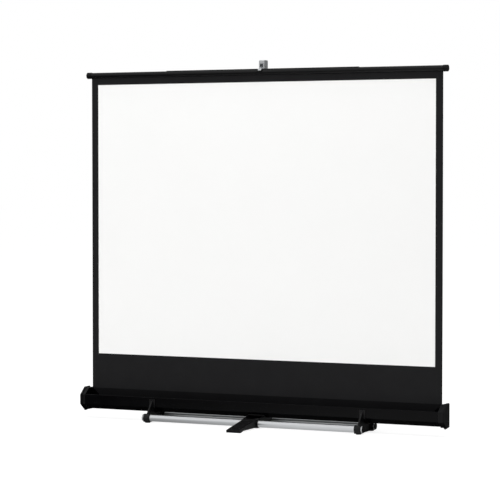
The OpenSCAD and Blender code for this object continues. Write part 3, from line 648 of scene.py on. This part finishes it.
class SCREEN_OT_case(bpy.types.Operator):
    """Finish the case, its end caps and their screws"""

    bl_idname = "screen.case"
    bl_label = "Case and end caps"

    def execute(self, context):
        # Folded sheet steel: only the long bends are round
        soften(powder_coat, 3.0 * MM, "case_shell", segments=3, smallest_face=0.01)
        soften(moulded_nylon, 1.5 * MM, "left_end_cap", "right_end_cap")
        coat(black_oxide, "end_cap_screws")
        coat(zinc_plate, "spring_end_bracket", "idle_end_bracket")
        return {"FINISHED"}


class SCREEN_OT_roller(bpy.types.Operator):
    """Finish the spring roller"""

    bl_idname = "screen.roller"
    bl_label = "Roller"

    def execute(self, context):
        coat(zinc_plate, "roller_tube", "spring_arbor", "roller_spring")
        coat(moulded_nylon, "spring_end_plug", "idle_end_plug")
        return {"FINISHED"}


class SCREEN_OT_base(bpy.types.Operator):
    """Finish the floor base: tubes, cradles, feet and screws"""

    bl_idname = "screen.base"
    bl_label = "Floor base"

    def execute(self, context):
        coat(chrome_plate, "front_base_tube", "rear_base_tube")
        soften(moulded_nylon, 1.0 * MM, "base_tube_plugs")
        soften(cast_enamel, 1.2 * MM, "left_cradle", "right_cradle", "centre_cradle")
        coat(black_oxide, "cradle_screws")
        soften(moulded_rubber, 1.0 * MM, "foot_pads")
        return {"FINISHED"}


class SCREEN_OT_pedal(bpy.types.Operator):
    """Finish the foot pedal"""

    bl_idname = "screen.pedal"
    bl_label = "Foot pedal"

    def execute(self, context):
        soften(scuffed_enamel, 0.8 * MM, "foot_pedal")
        coat(moulded_rubber, "pedal_tread")
        coat(black_oxide, "pedal_rivets")
        return {"FINISHED"}


class SCREEN_OT_pole(bpy.types.Operator):
    """Finish the telescoping pole, its collars, levers, head and hook"""

    bl_idname = "screen.pole"
    bl_label = "Pole"

    def execute(self, context):
        coat(chrome_plate, "pole_outer_tube", "pole_middle_tube", "pole_inner_tube")
        soften(satin_chrome, 1.5 * MM, "pole_head")
        soften(satin_chrome, 0.6 * MM, "slat_hook")
        soften(moulded_nylon, 1.5 * MM, "lower_collar", "upper_collar")
        soften(moulded_nylon, 0.8 * MM, "lower_lock_lever", "upper_lock_lever")
        coat(moulded_nylon, "middle_shoe", "inner_shoe")
        soften(cast_enamel, 2.0 * MM, "pole_foot")
        coat(zinc_plate, "pole_foot_bolts", "lower_lever_pin", "upper_lever_pin", "hook_pin")
        return {"FINISHED"}


class SCREEN_OT_slat(bpy.types.Operator):
    """Finish the slat, its end caps, strips, catch plate and hem rod"""

    bl_idname = "screen.slat"
    bl_label = "Slat"

    def execute(self, context):
        coat(black_anodised, "slat_tube")
        coat(powder_coat, "catch_plate")
        soften(moulded_nylon, 1.2 * MM, "slat_left_cap", "slat_right_cap")
        coat(moulded_nylon, "slat_strips")
        coat(zinc_plate, "catch_rivets", "hem_rod")
        return {"FINISHED"}


class SCREEN_OT_stage(bpy.types.Operator):
    """Set the camera, lights, floor and background"""

    bl_idname = "screen.stage"
    bl_label = "Studio"

    def execute(self, context):
        stage = context.scene.screen_stage
        add_camera(context.scene, stage)
        add_floor()
        add_world(context.scene, stage.room_light)
        aim = Vector((0, CLOTH_Y, AIM_HEIGHT))
        add_lamp("key_light", KEY_PLACE, aim, KEY_SIZE, stage.key_power)
        add_lamp("top_light", TOP_PLACE, aim, TOP_SIZE, stage.key_power * TOP_SHARE)
        context.scene.view_settings.view_transform = "Standard"
        return {"FINISHED"}


def add_camera(scene, stage):
    """The photograph's camera: its place, direction and angle of view."""
    data = bpy.data.cameras.new("photo_camera")
    data.sensor_width = SENSOR_WIDTH
    data.lens = stage.camera_lens
    data.clip_end = CAMERA_REACH
    camera = bpy.data.objects.new("photo_camera", data)
    scene.collection.objects.link(camera)
    camera.location = (stage.camera_x, stage.camera_y + CLOTH_Y, stage.camera_z)
    level = math.cos(stage.camera_tilt)
    look = Vector((-math.sin(stage.camera_turn) * level, math.cos(stage.camera_turn) * level,
                   -math.sin(stage.camera_tilt)))
    camera.rotation_euler = look.to_track_quat("-Z", "Y").to_euler()
    scene.camera = camera


def add_lamp(name, place, aim, size, power):
    """A square soft box that faces the aim point."""
    data = bpy.data.lights.new(name, "AREA")
    data.size = size
    data.energy = power
    lamp = bpy.data.objects.new(name, data)
    bpy.context.scene.collection.objects.link(lamp)
    lamp.location = place
    lamp.rotation_euler = (aim - Vector(place)).to_track_quat("-Z", "Y").to_euler()
    # Gloss shows the soft room instead of the box's square outline
    lamp.visible_glossy = False


def floor_paint():
    # Matt pale paint, lit up to the camera so that the floor fades into the background. In
    # reflections it is a glow dimmed by place, painted shade to the left, behind the object and
    # beneath it, so dark faces stay dark and metal has contrast
    material = bpy.data.materials.new("pale_studio_floor")
    material.use_nodes = True
    tree = material.node_tree
    tree.nodes.clear()
    position = add_node(tree, "ShaderNodeNewGeometry").outputs["Position"]
    place = add_node(tree, "ShaderNodeSeparateXYZ", {"Vector": position})
    across = add_node(tree, "ShaderNodeMapRange", {"Value": place.outputs["X"]},
                      {"From Min": FADE_ACROSS[0], "From Max": FADE_ACROSS[1],
                       "To Min": 0.02, "To Max": 0.85})
    behind = add_node(tree, "ShaderNodeMapRange", {"Value": place.outputs["Y"]},
                      {"From Min": FADE_BEHIND[0], "From Max": FADE_BEHIND[1],
                       "To Min": 1.0, "To Max": 0.12})
    between_tubes = add_node(tree, "ShaderNodeMath", {0: place.outputs["Y"]}, {1: BASE_Y},
                             operation="SUBTRACT")
    from_middle = add_node(tree, "ShaderNodeMath", {0: between_tubes.outputs["Value"]},
                           operation="ABSOLUTE")
    beneath = add_node(tree, "ShaderNodeMapRange", {"Value": from_middle.outputs["Value"]},
                       {"From Min": FADE_BENEATH[0], "From Max": FADE_BENEATH[1],
                        "To Min": 0.1, "To Max": 1.0})
    shade = add_node(tree, "ShaderNodeMath",
                     {0: beneath.outputs["Result"], 1: behind.outputs["Result"]},
                     operation="MULTIPLY")
    painted_floor_shade = add_node(tree, "ShaderNodeMath",
                   {0: across.outputs["Result"], 1: shade.outputs["Value"]},
                   operation="MULTIPLY")
    reflected = add_node(tree, "ShaderNodeEmission", {"Strength": painted_floor_shade.outputs["Value"]},
                         {"Color": (1, 1, 1, 1)})
    paint = add_node(tree, "ShaderNodeBsdfDiffuse", values={"Color": linear("#F2F2F2")})
    glow = add_node(tree, "ShaderNodeEmission",
                    values={"Color": (1, 1, 1, 1), "Strength": FLOOR_GLOW})
    path = add_node(tree, "ShaderNodeLightPath")
    share = add_node(tree, "ShaderNodeMath", {0: path.outputs["Is Camera Ray"]},
                     {1: GLOW_SHARE}, operation="MULTIPLY")
    seen = add_node(tree, "ShaderNodeMixShader",
                    {0: share.outputs["Value"], 1: paint.outputs["BSDF"],
                     2: glow.outputs["Emission"]})
    mix = add_node(tree, "ShaderNodeMixShader",
                   {0: path.outputs["Is Glossy Ray"], 1: seen.outputs["Shader"],
                    2: reflected.outputs["Emission"]})
    add_node(tree, "ShaderNodeOutputMaterial", {"Surface": mix.outputs["Shader"]})
    return material


def add_floor():
    """A wide pale floor that takes the object's shadow."""
    mesh = bpy.data.meshes.new("studio_floor")
    bm = bmesh.new()
    bm.faces.new([bm.verts.new((x * FLOOR_HALF, y * FLOOR_HALF, 0))
                  for x, y in ((-1, -1), (1, -1), (1, 1), (-1, 1))])
    bm.to_mesh(mesh)
    bm.free()
    floor = bpy.data.objects.new("studio_floor", mesh)
    bpy.context.scene.collection.objects.link(floor)
    mesh.materials.append(floor_paint())


def add_world(scene, room_light):
    """White to the eye, plain soft light on the object, and for reflections a pale room that
    is brightest overhead in front and darkest behind."""
    world = bpy.data.worlds.new("studio_world")
    scene.world = world
    world.use_nodes = True
    tree = world.node_tree
    tree.nodes.clear()
    path = add_node(tree, "ShaderNodeLightPath")
    direction = add_node(tree, "ShaderNodeTexCoord").outputs["Generated"]
    facing = add_node(tree, "ShaderNodeVectorMath", {0: direction}, {1: BRIGHTEST_WAY},
                      operation="DOT_PRODUCT")
    room = add_node(tree, "ShaderNodeMapRange", {"Value": facing.outputs["Value"]},
                    {"From Min": -0.9, "From Max": 1.0, "To Min": 0.02, "To Max": 0.95})
    reflected = add_node(tree, "ShaderNodeBackground", {"Strength": room.outputs["Result"]},
                         {"Color": (1, 1, 1, 1)})
    soft = add_node(tree, "ShaderNodeBackground",
                    values={"Color": (1, 1, 1, 1), "Strength": room_light})
    white = add_node(tree, "ShaderNodeBackground",
                     values={"Color": (1, 1, 1, 1), "Strength": 1.0})
    glossy = add_node(tree, "ShaderNodeMath",
                      {0: path.outputs["Is Glossy Ray"], 1: path.outputs["Is Transmission Ray"]},
                      operation="MAXIMUM")
    light = add_node(tree, "ShaderNodeMixShader",
                     {0: glossy.outputs["Value"], 1: soft.outputs["Background"],
                      2: reflected.outputs["Background"]})
    seen = add_node(tree, "ShaderNodeMixShader",
                    {0: path.outputs["Is Camera Ray"], 1: light.outputs["Shader"],
                     2: white.outputs["Background"]})
    add_node(tree, "ShaderNodeOutputWorld", {"Surface": seen.outputs["Shader"]})


class SCREEN_PT_panel(bpy.types.Panel):
    """Settings of the screen and the studio, and buttons for its pieces"""

    bl_label = "Projection Screen"
    bl_idname = "SCREEN_PT_panel"
    bl_space_type = "VIEW_3D"
    bl_region_type = "UI"
    bl_category = "Screen"

    def draw(self, context):
        for name, settings in SETTINGS.items():
            box = self.layout.box()
            for setting in settings.__annotations__:
                box.prop(getattr(context.scene, name), setting)
        for operator in OPERATORS:
            self.layout.operator(operator.bl_idname)


OPERATORS = (SCREEN_OT_stage, SCREEN_OT_cloth, SCREEN_OT_slat, SCREEN_OT_pole, SCREEN_OT_case,
             SCREEN_OT_roller, SCREEN_OT_base, SCREEN_OT_pedal)
SETTINGS = {"screen_cloth": ClothSettings, "screen_paint": PaintSettings,
            "screen_metal": MetalSettings, "screen_stage": StageSettings}


def register():
    for settings in SETTINGS.values():
        bpy.utils.register_class(settings)
    for name, settings in SETTINGS.items():
        setattr(bpy.types.Scene, name, PointerProperty(type=settings))
    for operator in OPERATORS:
        bpy.utils.register_class(operator)
    bpy.utils.register_class(SCREEN_PT_panel)


def unregister():
    bpy.utils.unregister_class(SCREEN_PT_panel)
    for operator in reversed(OPERATORS):
        bpy.utils.unregister_class(operator)
    for name, settings in reversed(SETTINGS.items()):
        delattr(bpy.types.Scene, name)
        bpy.utils.unregister_class(settings)


def main():
    register()
    bpy.ops.screen.stage()
    bpy.ops.screen.cloth()
    bpy.ops.screen.slat()
    bpy.ops.screen.pole()
    bpy.ops.screen.case()
    bpy.ops.screen.roller()
    bpy.ops.screen.base()
    bpy.ops.screen.pedal()


if __name__ == "__main__":
    main()
